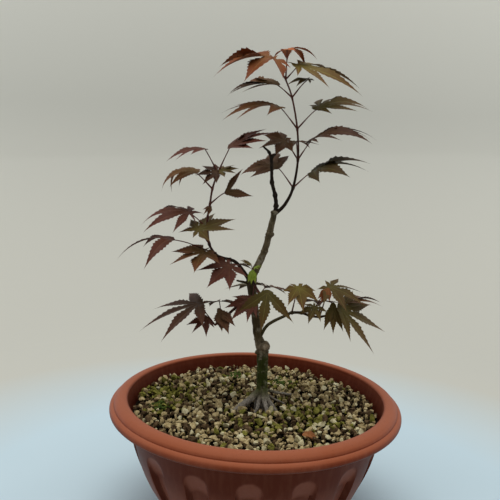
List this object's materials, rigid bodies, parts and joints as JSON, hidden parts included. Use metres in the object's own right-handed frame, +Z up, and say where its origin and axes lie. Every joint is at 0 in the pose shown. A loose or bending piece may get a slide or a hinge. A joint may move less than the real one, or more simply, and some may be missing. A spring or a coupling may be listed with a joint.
{
  "type": "potted maple bonsai",
  "caption": "Young bronze-leaved maple trained as a bonsai: a leaning trunk with surface roots, bare spur, boughs and drooping palmate leaves, planted in a round fluted bowl of grit",
  "frame": {"origin": "On the bowl's axis at its flat underside", "axes": "+Z up along the trunk's general growth, +X to the right and -Y toward the viewer of the pictured side"},
  "size_m": [0.2998, 0.2998, 0.4891],
  "materials": {
    "bowl": "satin",
    "soil": "granular",
    "trunk": "bark",
    "dead_spur": "dry bark",
    "boughs": "bark",
    "bronze_leaves": "matte leaf",
    "green_leaves": "matte leaf"
  },
  "bodies": {
    "root": {"bowl": "bowl", "soil": "soil", "trunk": "trunk", "dead_spur": "dead_spur", "leader_bough": "boughs", "left_bough": "boughs", "lower_right_bough": "boughs", "lower_left_bough": "boughs", "leader_leaves": "bronze_leaves", "left_leaves": "bronze_leaves", "lower_right_leaves": "bronze_leaves", "lower_left_leaves": "bronze_leaves", "front_leaves": "bronze_leaves", "back_leaves": "bronze_leaves", "green_leaves": "green_leaves"}
  },
  "joints": []
}
